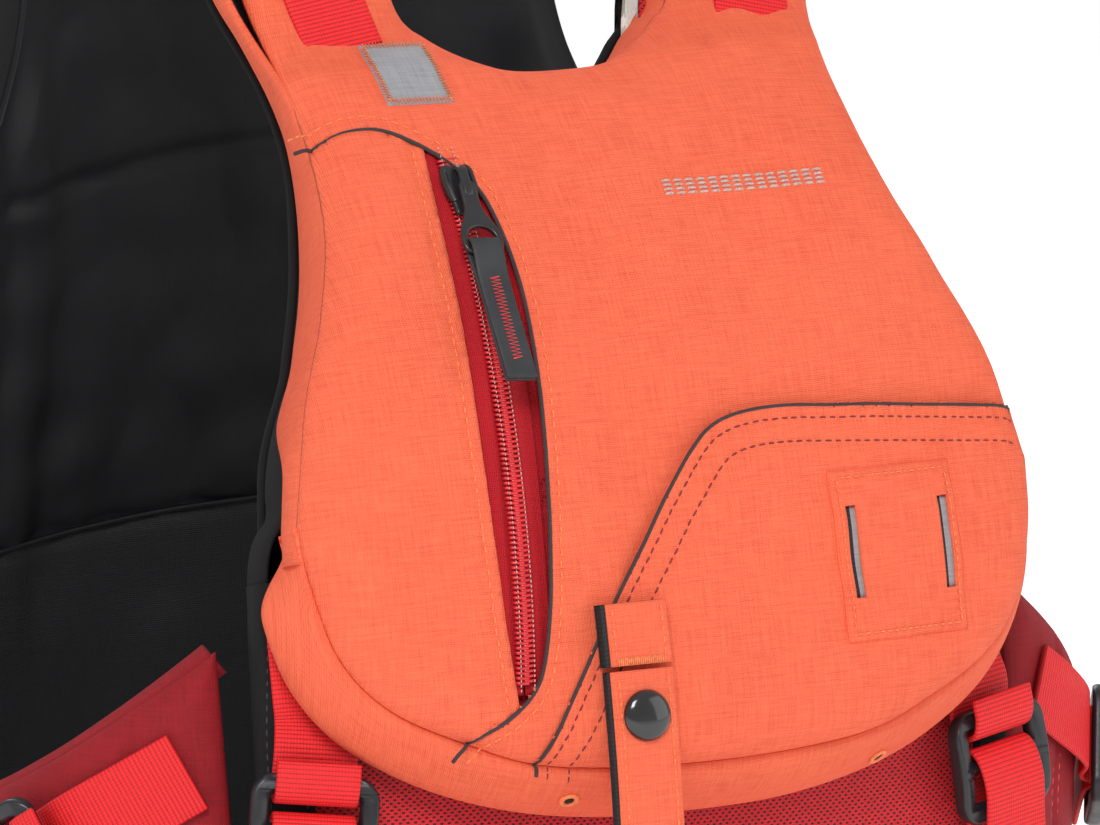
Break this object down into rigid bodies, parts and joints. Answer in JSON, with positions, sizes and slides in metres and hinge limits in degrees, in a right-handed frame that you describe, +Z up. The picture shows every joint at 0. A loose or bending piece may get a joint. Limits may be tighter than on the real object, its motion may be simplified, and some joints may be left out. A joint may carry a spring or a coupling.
{
  "type": "life jacket",
  "caption": "Side-adjusted foam life jacket with a padded front shield, zipped and tuck pockets, padded shoulders, webbing straps with ladder-lock buckles and a waist belt.",
  "frame": {"origin": "under the middle of the jacket's bounding box, on the surface its hem stands on", "axes": "+Z up, the wearer faces -Y, the wearer's left is +X"},
  "size_m": [0.4208, 0.3398, 0.506],
  "materials": {
    "foam": "closed-cell buoyancy foam, pale grey",
    "orange_fabric": "plain-weave nylon, matt, bright orange-red",
    "red_fabric": "plain-weave nylon and perforated mesh, crimson",
    "black_lining": "thin black nylon lining with a soft sheen",
    "black_fabric": "black stretch fabric, matt",
    "red_webbing": "ribbed polyester webbing, bright red",
    "zip_tape": "woven zip tape, crimson",
    "zip_chain": "nylon coil, dark red",
    "zip_metal": "black enamelled zinc, satin",
    "pull_strip": "black moulded strip with red zigzag stitch",
    "snap_black": "gloss black enamel",
    "steel": "nickel-plated",
    "reflective": "silver reflective film, satin",
    "black_plastic": "moulded acetal, fine grain"
  },
  "bodies": {
    "jacket": {"front_liner": "black_lining", "front_foam_core": "foam", "front_outer_shell": "red_fabric", "front_hem": "black_fabric", "front_binding_left": "black_fabric", "front_binding_right": "black_fabric", "shield_foam_core": "foam", "shield_face": "orange_fabric", "shield_gusset": "orange_fabric", "zip_chain": "zip_chain", "zip_tape_right": "zip_tape", "zip_tape_left": "zip_tape", "chest_pocket_panel": "orange_fabric", "lower_pocket_panel": "orange_fabric", "lash_patch": "orange_fabric", "reflective_patch": "reflective", "snap_tab_loop": "orange_fabric", "snap_stud": "steel", "side_liner_left": "black_lining", "side_foam_left": "foam", "side_shell_left": "red_fabric", "side_liner_right": "black_lining", "side_foam_right": "foam", "side_shell_right": "red_fabric", "back_liner": "black_lining", "back_foam_core": "foam", "back_outer_shell": "red_fabric", "back_hem": "black_fabric", "haul_loop": "black_fabric", "shoulder_pad_left": "black_fabric", "shoulder_webbing_left": "red_webbing", "shoulder_pad_right": "black_fabric", "shoulder_webbing_right": "red_webbing", "front_strap_left": "red_webbing", "front_strap_right": "red_webbing", "side_strap_left": "red_webbing", "side_anchor_left": "red_webbing", "side_strap_right": "red_webbing", "side_anchor_right": "red_webbing", "clasp_socket": "black_plastic", "belt_left": "red_webbing", "belt_right": "red_webbing"},
    "zip_slider": {"zip_slider": "zip_metal"},
    "zip_pull_tab": {"zip_pull_tab": "zip_metal"},
    "zip_pull_strip": {"zip_pull_strip": "pull_strip"},
    "snap_tab": {"snap_tab": "orange_fabric", "snap_cap": "snap_black"},
    "front_buckle_left": {"front_buckle_left": "black_plastic", "front_tail_left": "red_webbing"},
    "side_buckle_left": {"side_buckle_left": "black_plastic", "side_tail_left": "red_webbing"},
    "shoulder_buckle_left": {"shoulder_buckle_left": "black_plastic"},
    "front_buckle_right": {"front_buckle_right": "black_plastic", "front_tail_right": "red_webbing"},
    "side_buckle_right": {"side_buckle_right": "black_plastic", "side_tail_right": "red_webbing"},
    "shoulder_buckle_right": {"shoulder_buckle_right": "black_plastic"},
    "clasp_plug": {"clasp_plug": "black_plastic", "belt_tail": "red_webbing"}
  },
  "joints": [
    {"name": "zip_run", "type": "hinge", "parent": "jacket", "child": "zip_slider", "pos_m": [-0.06223, 0.11283, 0.15823], "axis": [0.9983, 0, -0.0589], "range_deg": [0, 30.65]},
    {"name": "zip_pull_swing", "type": "hinge", "parent": "zip_slider", "child": "zip_pull_tab", "pos_m": [-0.05166, -0.0983, 0.33735], "axis": [-0.9983, 0, 0.0589], "range_deg": [0, 115]},
    {"name": "zip_strip_swing", "type": "hinge", "parent": "zip_pull_tab", "child": "zip_pull_strip", "pos_m": [-0.05257, -0.11169, 0.32185], "axis": [-0.9983, 0, 0.0589], "range_deg": [0, 60]},
    {"name": "snap_tab_lift", "type": "hinge", "parent": "jacket", "child": "snap_tab", "pos_m": [-0.025, -0.16135, 0.19974], "axis": [-1, 0, 0], "range_deg": [0, 110]},
    {"name": "front_buckle_left_tilt", "type": "hinge", "parent": "jacket", "child": "front_buckle_left", "pos_m": [0.11254, -0.12287, 0.16606], "axis": [-0.9437, -0.318, -0.0907], "range_deg": [0, 30]},
    {"name": "front_buckle_right_tilt", "type": "hinge", "parent": "jacket", "child": "front_buckle_right", "pos_m": [-0.11254, -0.12287, 0.16606], "axis": [-0.9437, 0.318, 0.0907], "range_deg": [0, 30]},
    {"name": "side_buckle_left_tilt", "type": "hinge", "parent": "jacket", "child": "side_buckle_left", "pos_m": [0.17707, -0.07322, 0.14293], "axis": [-0.2638, -0.4561, -0.8499], "range_deg": [0, 30]},
    {"name": "side_buckle_right_tilt", "type": "hinge", "parent": "jacket", "child": "side_buckle_right", "pos_m": [-0.17707, -0.07322, 0.14293], "axis": [-0.2638, 0.4561, 0.8499], "range_deg": [0, 30]},
    {"name": "shoulder_buckle_left_tilt", "type": "hinge", "parent": "jacket", "child": "shoulder_buckle_left", "pos_m": [0.07649, 0.13913, 0.46704], "axis": [0.9621, 0.1536, -0.2255], "range_deg": [0, 30]},
    {"name": "shoulder_buckle_right_tilt", "type": "hinge", "parent": "jacket", "child": "shoulder_buckle_right", "pos_m": [-0.07649, 0.13913, 0.46704], "axis": [0.9621, -0.1536, 0.2255], "range_deg": [0, 30]},
    {"name": "clasp_slide", "type": "slide", "parent": "jacket", "child": "clasp_plug", "axis": [-1, 0, 0], "range_m": [0, 0.03]}
  ]
}
